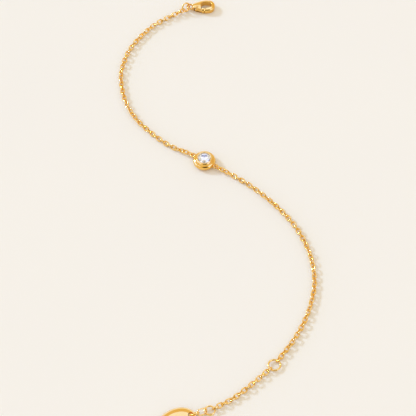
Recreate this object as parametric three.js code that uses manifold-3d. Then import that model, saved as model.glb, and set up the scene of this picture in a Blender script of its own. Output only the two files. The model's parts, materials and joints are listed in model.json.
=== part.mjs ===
// Diamond station bracelet: a fine cable chain with a bezel-set brilliant, a lobster clasp at one end and
// a jump ring with an oval tag at the other. It lies open on a flat surface in a long S-curve.
// Units are millimetres, +Z is up, and the surface is z = 0. The origin is the middle of the setting's flat
// underside. +Y runs towards the clasp end and -Y towards the tag end.

import * as THREE from 'three';
import { mergeVertices } from 'three/addons/utils/BufferGeometryUtils.js';
import Module from 'manifold-3d';

const wasm = await Module();
wasm.setup();

// ---------- driving dimensions ----------

const CHAIN = { diameter: 1.3, sides: 8, step: 2.7 };

// The chain's middle line on the surface, as [x, y] points joined by one smooth curve.
const CLASP_SIDE_ROUTE = [
  [-6.55, 51.95], [-11.5, 49], [-15, 46], [-20, 39], [-22, 33], [-22.5, 28.5],
  [-21, 20], [-18, 14], [-15.5, 11], [-9.5, 5.5], [-4, 2.5],
];
const LONG_ROUTE = [
  [4, -2.5], [8, -5], [12, -8], [18.5, -14.5], [22, -19], [24, -22.5], [26.5, -29],
  [27.5, -36.5], [27, -41.5], [25, -48.5], [22, -54.5], [18.2, -60.2],
];
const END_ROUTE = [[15.6, -63.3], [12.6, -66.2], [9, -69.5], [6.5, -71.5], [3, -73.55]];

const SETTING = {
  baseRadius: 2.1,
  girthRadius: 2.92,
  girthHeight: 0.9,
  grooveRadius: 2.2,
  grooveHeight: 1.68,
  lipOuterRadius: 2.15,
  lipTopRadius: 1.93,
  lipTopHeight: 2.15,
  lipRounding: 0.06,
  lipDepth: 0.18,
  lipInnerRadius: 1.63,
  lipInnerHeight: 2.04,
  lipInnerDepth: 0.13,
  seatRadius: 1.86,
  seatHeight: 1.68,
  seatSlope: 0.13,
  pocketRadius: 1.45,
  pocketHeight: 1.4,
  pocketFloor: 0.15,
  segments: 48,
};
const SETTING_LOOP = { outerDiameter: 1.5, wire: 0.4, reach: 3.42, angleDeg: 148 };

const DIAMOND = {
  girdleRadius: 1.75,
  tableRadius: 1,
  culetHeight: 0.27,
  girdleHeight: 1.78,
  girdleThickness: 0.06,
  tableHeight: 2.355,
  facets: 16,
};

const RING_MESH = { tubular: 28, radial: 8 };
const SIZING_RING = { outerDiameter: 3.4, wire: 0.45, centre: [17, -61.85, 0.55] };
const END_RING = { outerDiameter: 2.8, wire: 0.42, centre: [1.4, -74.5, 0.65] };

const CLASP = {
  tail: [-4, 53.6],
  turnDeg: 3,
  thickness: 1.7,
  bevel: 0.25,
  headCentre: 4.9,
  halfWidth: 2,
  windowHalfWidth: 1.05,
  windowStart: 3,
  hookTip: 4.32,
  tipSlope: 0.4,
  neckStart: 0.75,
  neckHalfWidth: 0.75,
  taperBend: [2, 1.45],
  taperEnd: 3.6,
  loopRadius: 1.05,
  loopHoleRadius: 0.62,
  loopThickness: 0.7,
  loopBevel: 0.12,
  loopHeight: 0.98,
  slotStart: 1,
  slotDepth: 0.3,
  curveSegments: 12,
};

// The lever's outline runs round its boss, along the gate's inner side to its tip, and back to the thumb tab.
const LEVER = {
  pivot: [1.95, -0.6],
  bossRadius: 0.5,
  thickness: 0.8,
  clearance: 0.1,
  bevel: 0.1,
  innerBend: [2.75, -0.15],
  gateInner: -1.1,
  gateOuter: -1.85,
  gateStart: 3.15,
  gateTip: 4.2,
  gateThickness: 1.5,
  outerBend: [2.2, -1.35],
  tabRoot: [1.75, -1.2],
  tabTip: [1.35, -1.45],
  tabBack: [1.2, -1.3],
  curveSegments: 8,
};
const PIN = { radius: 0.28, clearance: 0.08, segments: 16 };
const CLASP_RING = { outerDiameter: 2.8, wire: 0.42, offset: [-1.15, -0.5], turnDeg: 40, leanDeg: 20 };

const TAG = {
  centre: [-6.6, -78.9],
  longRadius: 5.7,
  shortRadius: 4.4,
  turnDeg: 41,
  tiltDeg: 3.3,
  plateThickness: 0.45,
  rimHeight: 0.65,
  rimWidth: 0.6,
  rimBevel: 0.1,
  holeInset: 1.05,
  holeRadius: 0.65,
  holeSegments: 20,
  segments: 40,
};
const TAG_RING = { outerDiameter: 2.6, wire: 0.42, offset: [0.885, 0.191], turnDeg: 18.5, leanDeg: -35 };
const TAG_LINK = {
  length: 2.8,
  width: 1.8,
  wire: 0.32,
  middle: [-0.452, -74.977, 0.854],
  turnDeg: 22.8,
  tiltDeg: 9.2,
  rollDeg: 49.4,
};

// ---------- finishes ----------

const gold = (name) => new THREE.MeshStandardMaterial({
  name, color: new THREE.Color(0.86, 0.62, 0.22), roughness: 0.16, metalness: 1,
});
const stone = new THREE.MeshStandardMaterial({
  name: 'diamond', color: new THREE.Color(0.93, 0.96, 1), roughness: 0.02, metalness: 0,
});

// ---------- helpers ----------

const radians = THREE.MathUtils.degToRad;

// A closed mesh as a manifold solid: only positions are kept, and shared vertices are merged.
function toSolid(geometry) {
  const bare = geometry.index ? geometry.toNonIndexed() : geometry.clone();
  for (const name of Object.keys(bare.attributes)) {
    if (name !== 'position') bare.deleteAttribute(name);
  }
  const merged = mergeVertices(bare, 1e-5);
  return new wasm.Manifold(new wasm.Mesh({
    numProp: 3,
    vertProperties: new Float32Array(merged.attributes.position.array),
    triVerts: new Uint32Array(merged.index.array),
  }));
}

function toGeometry(solid) {
  const mesh = solid.getMesh();
  const geometry = new THREE.BufferGeometry();
  geometry.setAttribute('position', new THREE.BufferAttribute(mesh.vertProperties, 3));
  geometry.setIndex(new THREE.BufferAttribute(mesh.triVerts, 1));
  geometry.computeVertexNormals();
  return geometry;
}

function namedMesh(name, geometry, material) {
  const mesh = new THREE.Mesh(geometry, material);
  mesh.name = name;
  return mesh;
}

// A flat outline made into a plate of the given thickness, centred on z = 0, with bevelled edges.
function plate(shape, thickness, bevel, curveSegments) {
  const geometry = new THREE.ExtrudeGeometry(shape, {
    depth: thickness - 2 * bevel,
    bevelEnabled: bevel > 0,
    bevelThickness: bevel,
    bevelSize: bevel,
    bevelOffset: -bevel,
    bevelSegments: 2,
    curveSegments,
  });
  return geometry.translate(0, 0, bevel - thickness / 2);
}

function boxBetween(low, high) {
  const size = high.map((value, i) => value - low[i]);
  const middle = high.map((value, i) => (value + low[i]) / 2);
  return new THREE.BoxGeometry(...size).translate(...middle);
}

// A round-wire ring lying flat round the origin.
function wireRing(outerDiameter, wire) {
  return new THREE.TorusGeometry(
    (outerDiameter - wire) / 2, wire / 2, RING_MESH.radial, RING_MESH.tubular,
  );
}

// A ring that stands on its edge: its plane runs along turnDeg and leans from the vertical by leanDeg.
// The hole that it passes through is at anchor, and its lowest point touches the surface.
function standingRing(name, spec, anchor) {
  const ringRadius = (spec.outerDiameter - spec.wire) / 2;
  const mesh = namedMesh(name, wireRing(spec.outerDiameter, spec.wire), gold(name));
  mesh.rotation.order = 'ZXY';
  mesh.rotation.x = Math.PI / 2 - radians(spec.leanDeg);
  mesh.rotation.z = radians(spec.turnDeg);
  mesh.position.set(
    anchor[0] + spec.offset[0],
    anchor[1] + spec.offset[1],
    ringRadius * Math.cos(radians(spec.leanDeg)) + spec.wire / 2,
  );
  return mesh;
}

// ---------- chain ----------

function chain(name, route) {
  const height = CHAIN.diameter / 2;
  const curve = new THREE.CatmullRomCurve3(
    route.map(([x, y]) => new THREE.Vector3(x, y, height)), false, 'centripetal',
  );
  const halfSide = Math.PI / CHAIN.sides;
  const cornerRadius = height / Math.cos(halfSide);
  const corners = Array.from({ length: CHAIN.sides }, (_, i) => {
    const angle = halfSide * (2 * i + 1);
    return new THREE.Vector2(cornerRadius * Math.cos(angle), cornerRadius * Math.sin(angle));
  });
  const geometry = new THREE.ExtrudeGeometry(new THREE.Shape(corners), {
    steps: Math.round(curve.getLength() / CHAIN.step),
    bevelEnabled: false,
    extrudePath: curve,
  });
  return namedMesh(name, geometry, gold(name));
}

// ---------- setting and stone ----------

// A puffed cup with a raised lip that holds the stone, and a solder loop on each side for the chain.
function setting() {
  const s = SETTING;
  const puff = s.girthRadius - s.baseRadius;
  const shoulder = s.grooveHeight - s.girthHeight;
  const profile = [
    [0, 0],
    [s.baseRadius, 0],
    [s.baseRadius + 0.6 * puff, 0.25 * s.girthHeight],
    [s.baseRadius + 0.9 * puff, 0.6 * s.girthHeight],
    [s.girthRadius, s.girthHeight],
    [s.baseRadius + 0.9 * puff, s.girthHeight + 0.4 * shoulder],
    [s.baseRadius + 0.6 * puff, s.girthHeight + 0.8 * shoulder],
    [s.grooveRadius, s.grooveHeight],
    [s.lipOuterRadius, s.lipTopHeight - s.lipDepth],
    [s.lipTopRadius, s.lipTopHeight],
    [s.lipInnerRadius + s.lipRounding, s.lipTopHeight],
    [s.lipInnerRadius, s.lipInnerHeight],
    [s.seatRadius, s.lipInnerHeight - s.lipInnerDepth],
    [s.seatRadius, s.seatHeight],
    [(s.seatRadius + s.pocketRadius) / 2, s.seatHeight - s.seatSlope],
    [s.pocketRadius, s.pocketHeight],
    [s.pocketRadius, s.pocketFloor],
    [0, s.pocketFloor],
  ].map(([radius, height]) => new THREE.Vector2(radius, height));
  let solid = toSolid(new THREE.LatheGeometry(profile, s.segments).rotateX(Math.PI / 2));

  for (const side of [0, 180]) {
    const angle = radians(SETTING_LOOP.angleDeg + side);
    const loop = wireRing(SETTING_LOOP.outerDiameter, SETTING_LOOP.wire).translate(
      SETTING_LOOP.reach * Math.cos(angle), SETTING_LOOP.reach * Math.sin(angle), s.girthHeight,
    );
    solid = solid.add(toSolid(loop));
  }
  return namedMesh('bezel_setting', toGeometry(solid), gold('bezel_setting'));
}

function diamond() {
  const d = DIAMOND;
  const profile = [
    [0, d.culetHeight],
    [d.girdleRadius, d.girdleHeight],
    [d.girdleRadius, d.girdleHeight + d.girdleThickness],
    [d.tableRadius, d.tableHeight],
    [0, d.tableHeight],
  ].map(([radius, height]) => new THREE.Vector2(radius, height));
  const geometry = new THREE.LatheGeometry(profile, d.facets).rotateX(Math.PI / 2);
  return namedMesh('diamond', geometry, stone);
}

// ---------- clasp ----------
// In the clasp's own frame x runs from the tail loop's middle to the head, and z = 0 is its middle plane.

function claspOutline() {
  const c = CLASP;
  const [bendX, bendY] = c.taperBend;
  const shape = new THREE.Shape();
  shape.moveTo(c.neckStart, -c.neckHalfWidth);
  shape.quadraticCurveTo(bendX, -bendY, c.taperEnd, -c.halfWidth);
  shape.lineTo(c.headCentre, -c.halfWidth);
  shape.absarc(c.headCentre, 0, c.halfWidth, -Math.PI / 2, Math.PI / 2, false);
  shape.lineTo(c.taperEnd, c.halfWidth);
  shape.quadraticCurveTo(bendX, bendY, c.neckStart, c.neckHalfWidth);
  shape.closePath();

  const window = new THREE.Path();
  window.moveTo(c.windowStart, -c.windowHalfWidth);
  window.lineTo(c.windowStart, c.windowHalfWidth);
  window.lineTo(c.headCentre, c.windowHalfWidth);
  window.absarc(c.headCentre, 0, c.windowHalfWidth, Math.PI / 2, -Math.PI / 2, true);
  window.closePath();
  shape.holes.push(window);
  return shape;
}

// The opening that the gate fills, which ends at the hook's slanted tip.
function gateGap() {
  const c = CLASP;
  const outside = -2 * c.halfWidth;
  const shape = new THREE.Shape([
    new THREE.Vector2(c.windowStart, -c.windowHalfWidth / 2),
    new THREE.Vector2(c.windowStart, outside),
    new THREE.Vector2(c.hookTip + c.tipSlope * (outside + c.windowHalfWidth), outside),
    new THREE.Vector2(c.hookTip, -c.windowHalfWidth),
    new THREE.Vector2(c.hookTip, -c.windowHalfWidth / 2),
  ]);
  return plate(shape, 2 * c.thickness, 0, 1);
}

// The round hole for the pin, through the body's two cheeks and the lever.
function pinBore() {
  const radius = PIN.radius + PIN.clearance;
  return new THREE.CylinderGeometry(radius, radius, 2 * CLASP.thickness, PIN.segments)
    .rotateX(Math.PI / 2)
    .translate(...LEVER.pivot, 0);
}

function claspBody() {
  const c = CLASP;
  const slotHalf = LEVER.thickness / 2 + LEVER.clearance;

  const loopShape = new THREE.Shape();
  loopShape.absarc(0, 0, c.loopRadius, 0, 2 * Math.PI, false);
  const loopHole = new THREE.Path();
  loopHole.absarc(0, 0, c.loopHoleRadius, 0, 2 * Math.PI, true);
  loopShape.holes.push(loopHole);
  const loop = plate(loopShape, c.loopThickness, c.loopBevel, 2 * c.curveSegments)
    .translate(0, 0, c.loopHeight - c.thickness / 2);

  const leverSlot = boxBetween(
    [c.slotStart, -2 * c.halfWidth, -slotHalf], [c.windowStart + LEVER.clearance, c.slotDepth, slotHalf],
  );
  const solid = toSolid(plate(claspOutline(), c.thickness, c.bevel, c.curveSegments))
    .add(toSolid(loop))
    .subtract(toSolid(gateGap()))
    .subtract(toSolid(leverSlot))
    .subtract(toSolid(pinBore()));
  return namedMesh('clasp_body', toGeometry(solid), gold('clasp_body'));
}

// The gate that closes the hook, with the thumb tab that opens it, turning on the pin. Its blade is thin
// enough for the slot, and past the slot it is nearly as thick as the hook.
function claspLever() {
  const l = LEVER;
  const [pivotX, pivotY] = l.pivot;
  const tipOuter = l.gateTip + CLASP.tipSlope * (l.gateOuter - l.gateInner);
  const blade = new THREE.Shape();
  blade.absarc(pivotX, pivotY, l.bossRadius, Math.PI, Math.PI / 2, true);
  blade.quadraticCurveTo(...l.innerBend, l.gateStart, l.gateInner);
  blade.lineTo(l.gateTip, l.gateInner);
  blade.lineTo(tipOuter, l.gateOuter);
  blade.lineTo(l.gateStart, l.gateOuter);
  blade.quadraticCurveTo(...l.outerBend, ...l.tabRoot);
  blade.lineTo(...l.tabTip);
  blade.lineTo(...l.tabBack);
  blade.closePath();

  const gate = new THREE.Shape([
    new THREE.Vector2(l.gateStart, l.gateInner),
    new THREE.Vector2(l.gateStart, l.gateOuter),
    new THREE.Vector2(tipOuter, l.gateOuter),
    new THREE.Vector2(l.gateTip, l.gateInner),
  ]);
  const solid = toSolid(plate(blade, l.thickness, l.bevel, l.curveSegments))
    .add(toSolid(plate(gate, l.gateThickness, l.bevel, 1)))
    .subtract(toSolid(pinBore()));
  return namedMesh('clasp_lever', toGeometry(solid), gold('clasp_lever'));
}

function claspPin() {
  const geometry = new THREE.CylinderGeometry(PIN.radius, PIN.radius, CLASP.thickness, PIN.segments)
    .rotateX(Math.PI / 2)
    .translate(...LEVER.pivot, 0);
  return namedMesh('clasp_pin', geometry, gold('clasp_pin'));
}

function clasp() {
  const assembly = new THREE.Group();
  assembly.position.set(...CLASP.tail, CLASP.thickness / 2);
  assembly.rotation.z = radians(CLASP.turnDeg);
  assembly.add(claspBody(), claspLever(), claspPin());
  return assembly;
}

// ---------- rings and tag at the other end ----------

function flatRing(name, outerDiameter, wire, centre) {
  const mesh = namedMesh(name, wireRing(outerDiameter, wire), gold(name));
  mesh.position.set(...centre);
  return mesh;
}

// An oval plate with a raised rim. In its own frame x is the long axis and z = 0 is its underside.
function tagGeometry() {
  const t = TAG;
  const oval = (inset) => {
    const path = new THREE.Shape();
    path.absellipse(0, 0, t.longRadius - inset, t.shortRadius - inset, 0, 2 * Math.PI, false, 0);
    return path;
  };
  const rimmed = plate(oval(0), t.rimHeight, t.rimBevel, t.segments / 2).translate(0, 0, t.rimHeight / 2);
  const recess = plate(oval(t.rimWidth), t.rimHeight, 0, t.segments / 2)
    .translate(0, 0, t.plateThickness + t.rimHeight / 2);
  const hole = new THREE.CylinderGeometry(t.holeRadius, t.holeRadius, 4 * t.rimHeight, t.holeSegments)
    .rotateX(Math.PI / 2)
    .translate(t.longRadius - t.holeInset, 0, 0);
  return toGeometry(toSolid(rimmed).subtract(toSolid(recess)).subtract(toSolid(hole)));
}

// The tag leans on its far end, with the end that carries the ring lifted off the surface.
function tag() {
  const t = TAG;
  const turn = radians(t.turnDeg);
  const tilt = radians(t.tiltDeg);
  const lift = new THREE.Group();
  lift.position.set(
    t.centre[0] - t.longRadius * Math.cos(turn), t.centre[1] - t.longRadius * Math.sin(turn), 0,
  );
  lift.rotation.order = 'ZYX';
  lift.rotation.z = turn;
  lift.rotation.y = -tilt;
  const mesh = namedMesh('tag', tagGeometry(), gold('tag'));
  mesh.position.x = t.longRadius;
  lift.add(mesh);
  return lift;
}

function tagHole() {
  const reach = TAG.longRadius - TAG.holeInset;
  const turn = radians(TAG.turnDeg);
  return [TAG.centre[0] + reach * Math.cos(turn), TAG.centre[1] + reach * Math.sin(turn)];
}

// One oval link that joins the tag's ring to the ring on the chain's end.
function tagLink() {
  const l = TAG_LINK;
  const geometry = new THREE.TorusGeometry(
    (l.width - l.wire) / 2, l.wire / 2, RING_MESH.radial, RING_MESH.tubular - 2,
  );
  const stretch = (l.length - l.width) / 2;
  const position = geometry.attributes.position;
  for (let i = 0; i < position.count; i += 1) {
    position.setX(i, position.getX(i) + stretch * Math.sign(position.getX(i)));
  }
  const mesh = namedMesh('tag_link', geometry, gold('tag_link'));
  mesh.rotation.order = 'ZYX';
  mesh.rotation.set(radians(l.rollDeg), radians(l.tiltDeg), radians(l.turnDeg));
  mesh.position.set(...l.middle);
  return mesh;
}

// ---------- assembly ----------

const group = new THREE.Group();
group.add(
  chain('chain_clasp_side', CLASP_SIDE_ROUTE),
  chain('chain_long', LONG_ROUTE),
  chain('chain_end', END_ROUTE),
  setting(),
  diamond(),
  clasp(),
  standingRing('clasp_ring', CLASP_RING, CLASP.tail),
  flatRing('sizing_ring', SIZING_RING.outerDiameter, SIZING_RING.wire, SIZING_RING.centre),
  flatRing('end_ring', END_RING.outerDiameter, END_RING.wire, END_RING.centre),
  tagLink(),
  standingRing('tag_ring', TAG_RING, tagHole()),
  tag(),
);

export default group;
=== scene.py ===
"""Diamond station bracelet in polished yellow gold, laid open on a pale surface.

A fine cable chain carries one bezel-set brilliant. A lobster clasp closes one end. The other end
has a sizing ring in the chain, an end ring, and an oval tag that hangs from a link and a jump
ring. Shapes are drawn in millimetres in the bracelet's own frame, and each is scaled to metres as
its piece is made.
"""

import json
import logging
import math
import random
from dataclasses import dataclass
from enum import Enum

import bmesh
import bpy
from bmesh.types import BMEdge, BMFace, BMesh, BMVert
from mathutils import Matrix, Vector


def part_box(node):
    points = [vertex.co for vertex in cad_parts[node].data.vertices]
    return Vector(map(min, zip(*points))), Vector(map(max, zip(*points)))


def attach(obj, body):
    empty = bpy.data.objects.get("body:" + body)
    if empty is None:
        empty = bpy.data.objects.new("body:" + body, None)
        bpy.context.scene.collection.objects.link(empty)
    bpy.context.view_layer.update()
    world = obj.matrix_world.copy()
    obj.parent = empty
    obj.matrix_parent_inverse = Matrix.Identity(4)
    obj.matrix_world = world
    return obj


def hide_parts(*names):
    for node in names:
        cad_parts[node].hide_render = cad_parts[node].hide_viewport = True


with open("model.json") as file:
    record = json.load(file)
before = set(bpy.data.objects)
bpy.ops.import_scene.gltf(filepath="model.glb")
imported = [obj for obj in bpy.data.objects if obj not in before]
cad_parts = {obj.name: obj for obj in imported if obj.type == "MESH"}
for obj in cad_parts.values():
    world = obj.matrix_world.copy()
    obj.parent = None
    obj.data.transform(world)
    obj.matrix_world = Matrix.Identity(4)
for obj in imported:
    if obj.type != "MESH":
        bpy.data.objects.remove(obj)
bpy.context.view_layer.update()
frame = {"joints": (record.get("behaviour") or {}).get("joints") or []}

MM = 0.001
NEAR = 0.001  # in millimetres; places that are nearer than this count as one
ALIGNED = 0.9  # the least cosine between a face's normal and the axis that it looks along
FULL_TURN = 360
WEIGHT_LAYER = "bevel_weight_edge"
LOG = logging.getLogger("bracelet")

Colour = tuple[float, float, float]
Pair = tuple[float, float]


class Slot(Enum):
    """The record's material slots."""

    GOLD = "polished_gold"
    DIAMOND = "diamond"


class Body(Enum):
    """The bodies that a piece can ride on."""

    BRACELET = "bracelet"
    LEVER = "lever"


class Cut(Enum):
    """How one solid changes another."""

    JOIN = "UNION"
    REMOVE = "DIFFERENCE"


# ---- places and shapes


def box_middle(node: str) -> Vector:
    """The middle of a node's box, in millimetres.

    Args:
        node: The name of the node.

    Returns:
        The middle of its lowest and highest corners.
    """
    low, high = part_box(node)
    return (low + high) / (2 * MM)


def turned(degrees: float, axis: str) -> Matrix:
    """A turn about one axis, given in degrees."""
    return Matrix.Rotation(math.radians(degrees), 4, axis)


def heading(degrees: float) -> Vector:
    """The level direction at an angle from +X, in degrees."""
    angle = math.radians(degrees)
    return Vector((math.cos(angle), math.sin(angle), 0))


def aim(azimuth_deg: float, elevation_deg: float) -> Vector:
    """The direction at an angle from +X and an angle above the level, in degrees."""
    rise = math.radians(elevation_deg)
    return heading(azimuth_deg) * math.cos(rise) + Vector((0, 0, math.sin(rise)))


def swell(corners: int) -> float:
    """How much larger a cage is drawn, so that one smoothing gives a round of the right size.

    Args:
        corners: The number of corners round the cage.

    Returns:
        The factor for the cage's radius.
    """
    return 8 / (6 + 2 * math.cos(2 * math.pi / corners))


def fall(share: float) -> float:
    """A soft step from 1 at 0 down to 0 at 1 and past it."""
    held = min(max(share, 0.0), 1.0)
    return 1 - held * held * (3 - 2 * held)


def everything(shape: BMesh) -> list[object]:
    """All the corners, edges and faces of a shape."""
    return shape.verts[:] + shape.edges[:] + shape.faces[:]


def only(kind: type, parts: list[object]) -> list[object]:
    """The corners, the edges or the faces from a list of parts."""
    return [part for part in parts if isinstance(part, kind)]


def put(name: str, data: bpy.types.ID) -> bpy.types.Object:
    """Puts a new object in the scene.

    Args:
        name: The object's name.
        data: Its mesh, light or lens.

    Returns:
        The object.
    """
    item = bpy.data.objects.new(name, data)
    bpy.context.scene.collection.objects.link(item)
    return item


def discard(item: bpy.types.Object) -> None:
    """Removes an object and its mesh.

    Args:
        item: The object.
    """
    mesh = item.data
    bpy.data.objects.remove(item)
    bpy.data.meshes.remove(mesh)


def turn_back(item: bpy.types.Object, direction: Vector) -> None:
    """Turns the back of a light or a camera towards a direction."""
    item.rotation_mode = "QUATERNION"
    item.rotation_quaternion = direction.to_track_quat("Z", "Y")


def add_copy(shape: BMesh, pattern: bpy.types.Mesh, place: Matrix) -> None:
    """Adds a copy of a pattern to a shape.

    Args:
        shape: The shape that grows.
        pattern: The mesh that is copied.
        place: Where the copy goes.
    """
    first = len(shape.verts)
    shape.from_mesh(pattern)
    shape.verts.ensure_lookup_table()
    bmesh.ops.transform(shape, matrix=place, verts=shape.verts[first:])


def as_mesh(shape: BMesh, name: str) -> bpy.types.Mesh:
    """Writes a shape to a new mesh and frees the shape.

    Args:
        shape: The shape, which can't be used afterwards.
        name: The new mesh's name.

    Returns:
        The new mesh.
    """
    mesh = bpy.data.meshes.new(name)
    shape.to_mesh(mesh)
    shape.free()
    return mesh


def carried_out(shape: BMesh, kind: str, **settings: object) -> BMesh:
    """Puts one modifier on a shape and returns what comes out.

    Args:
        shape: The shape, which is freed.
        kind: The modifier's type.
        **settings: The modifier's own settings.

    Returns:
        The changed shape.
    """
    blank = put("blank", as_mesh(shape, "blank"))
    modifier = blank.modifiers.new(kind, kind)
    for name, value in settings.items():
        setattr(modifier, name, value)
    result = bmesh.new()
    result.from_object(blank, bpy.context.evaluated_depsgraph_get())
    discard(blank)
    return result


def smoothed(shape: BMesh, levels: int) -> BMesh:
    """The shape with its cage smoothed and divided a number of times."""
    return carried_out(shape, "SUBSURF", levels=levels, render_levels=levels)


def worked(shape: BMesh, tool: BMesh, cut: Cut) -> BMesh:
    """Joins a tool to a shape, or takes it away, leaving one closed solid.

    Args:
        shape: The closed solid that is worked on, which is freed.
        tool: The closed solid that works on it, which is freed.
        cut: Whether the tool is joined or removed.

    Returns:
        The new solid.
    """
    cutter = put("tool", as_mesh(tool, "tool"))
    result = carried_out(shape, "BOOLEAN", object=cutter, operation=cut.value, solver="EXACT")
    discard(cutter)
    return result


def sharp_edges(shape: BMesh, degrees: float) -> list[BMEdge]:
    """The edges whose faces meet at more than an angle.

    Args:
        shape: The shape.
        degrees: The least angle between the faces' normals.

    Returns:
        The edges found.
    """
    least = math.radians(degrees)
    return [e for e in shape.edges if e.is_manifold and e.calc_face_angle() > least]


def rounded(shape: BMesh, radius: float, segments: int = 2, degrees: float = 30) -> BMesh:
    """Rounds a shape's sharp edges.

    Args:
        shape: The shape, which is changed.
        radius: How far the rounding reaches from each edge.
        segments: The number of steps across it.
        degrees: The least angle of an edge that is rounded.

    Returns:
        The same shape.
    """
    bmesh.ops.bevel(
        shape,
        geom=sharp_edges(shape, degrees),
        offset=radius,
        affect="EDGES",
        segments=segments,
        profile=0.5,
        material=-1,
        clamp_overlap=True,
    )
    return shape


def moved(shape: BMesh, place: Matrix) -> BMesh:
    """The same shape, put in another place."""
    bmesh.ops.transform(shape, matrix=place, verts=shape.verts)
    return shape


def raised(shape: BMesh, faces: list[BMFace], way: tuple[float, float, float]) -> BMFace:
    """Extrudes faces and moves the new ones.

    Args:
        shape: The shape that the faces are part of.
        faces: The faces.
        way: How far and which way the new faces go.

    Returns:
        The first of the new faces.
    """
    made = bmesh.ops.extrude_face_region(shape, geom=faces)["geom"]
    bmesh.ops.translate(shape, verts=only(BMVert, made), vec=way)
    return only(BMFace, made)[0]


def spun(
    shape: BMesh, part: list[object], degrees: float, steps: int, middle_x: float = 0.0
) -> list[object]:
    """Spins part of a shape round an upright axis, and joins a full turn into one ring.

    Args:
        shape: The shape that grows.
        part: The corners, edges and faces that are spun.
        degrees: How far they go round.
        steps: The number of steps.
        middle_x: Where the axis crosses X.

    Returns:
        The corners, edges and faces at the end.
    """
    return bmesh.ops.spin(
        shape,
        geom=part,
        cent=(middle_x, 0, 0),
        axis=(0, 0, 1),
        dvec=(0, 0, 0),
        angle=math.radians(degrees),
        steps=steps,
        use_merge=degrees == FULL_TURN,
        use_duplicate=False,
    )["geom_last"]


def rod(
    radius: float, low: float, high: float, rounding: float = 0.0, sides: int = 48
) -> BMesh:
    """An upright round rod on the Z axis.

    Args:
        radius: The rod's radius.
        low: The height of its lower end.
        high: The height of its upper end.
        rounding: The rounding of its two rims.
        sides: The number of its sides.

    Returns:
        The rod's shape.
    """
    shape = bmesh.new()
    bmesh.ops.create_cone(
        shape, cap_ends=True, segments=sides, radius1=radius, radius2=radius, depth=high - low
    )
    moved(shape, Matrix.Translation((0, 0, (low + high) / 2)))
    return rounded(shape, rounding) if rounding else shape


def block(low: Vector, high: Vector) -> BMesh:
    """A box between two corners.

    Args:
        low: The lowest corner.
        high: The highest corner.

    Returns:
        The box.
    """
    shape = bmesh.new()
    bmesh.ops.create_cube(shape, size=1)
    bmesh.ops.scale(shape, verts=shape.verts, vec=high - low)
    bmesh.ops.translate(shape, verts=shape.verts, vec=(low + high) / 2)
    return shape


@dataclass(frozen=True)
class WireRing:
    """A round or oval ring of round wire, lying flat round the origin with its long side along X.

    Its sizes are taken over the wire, in millimetres. The mesh is a cage for one smoothing.
    """

    length: float
    width: float
    wire: float
    sides: int = 10
    steps: int = 40
    joint_deg: float = 0.0

    def cage(self) -> BMesh:
        """Bends the wire round, and leaves its butt joint open by joint_deg.

        Returns:
            The cage of the ring.
        """
        shape = bmesh.new()
        radius = swell(self.sides) * self.wire / 2
        bmesh.ops.create_circle(shape, segments=self.sides, radius=radius)
        start = turned((self.joint_deg + FULL_TURN / self.steps) / 2, "Z")
        reach = swell(self.steps) * (self.width - self.wire) / 2
        moved(shape, start @ Matrix.Translation((reach, 0, 0)) @ turned(90, "X"))
        if self.joint_deg:
            bmesh.ops.contextual_create(shape, geom=shape.edges[:])
        spun(shape, everything(shape), FULL_TURN - self.joint_deg, self.steps)
        for vert in shape.verts:
            vert.co.x += math.copysign((self.length - self.width) / 2, vert.co.x)
        bmesh.ops.recalc_face_normals(shape, faces=shape.faces)
        return shape

    def lying(self, node: str) -> BMesh:
        """The cage, lying flat where the frame has the node."""
        return moved(self.cage(), Matrix.Translation(box_middle(node)))

    def standing(self, node: str, turn_deg: float, lean_deg: float) -> BMesh:
        """The cage, standing on its edge where the frame has the node.

        Args:
            node: The node.
            turn_deg: How far the ring is turned about the upright axis.
            lean_deg: How far it leans from upright.

        Returns:
            The cage in its place.
        """
        place = Matrix.Translation(box_middle(node)) @ turned(turn_deg, "Z")
        return moved(self.cage(), place @ turned(90 - lean_deg, "X"))

    @property
    def inner_half_length(self) -> float:
        """Half the opening's long side."""
        return self.length / 2 - self.wire


# ---- finishes


Socket = bpy.types.NodeSocket
Outputs = bpy.types.bpy_prop_collection
STROKE_TURN = (0.3, 0.5, 0.8)
STROKE_STRETCH = (1.0, 0.22, 1.0)
CLOUD_RANGE = (0.3, 0.7)
MIX_FIRST, MIX_SECOND, MIX_RESULT = 6, 7, 2  # where a Mix node has its sockets for colours


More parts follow.
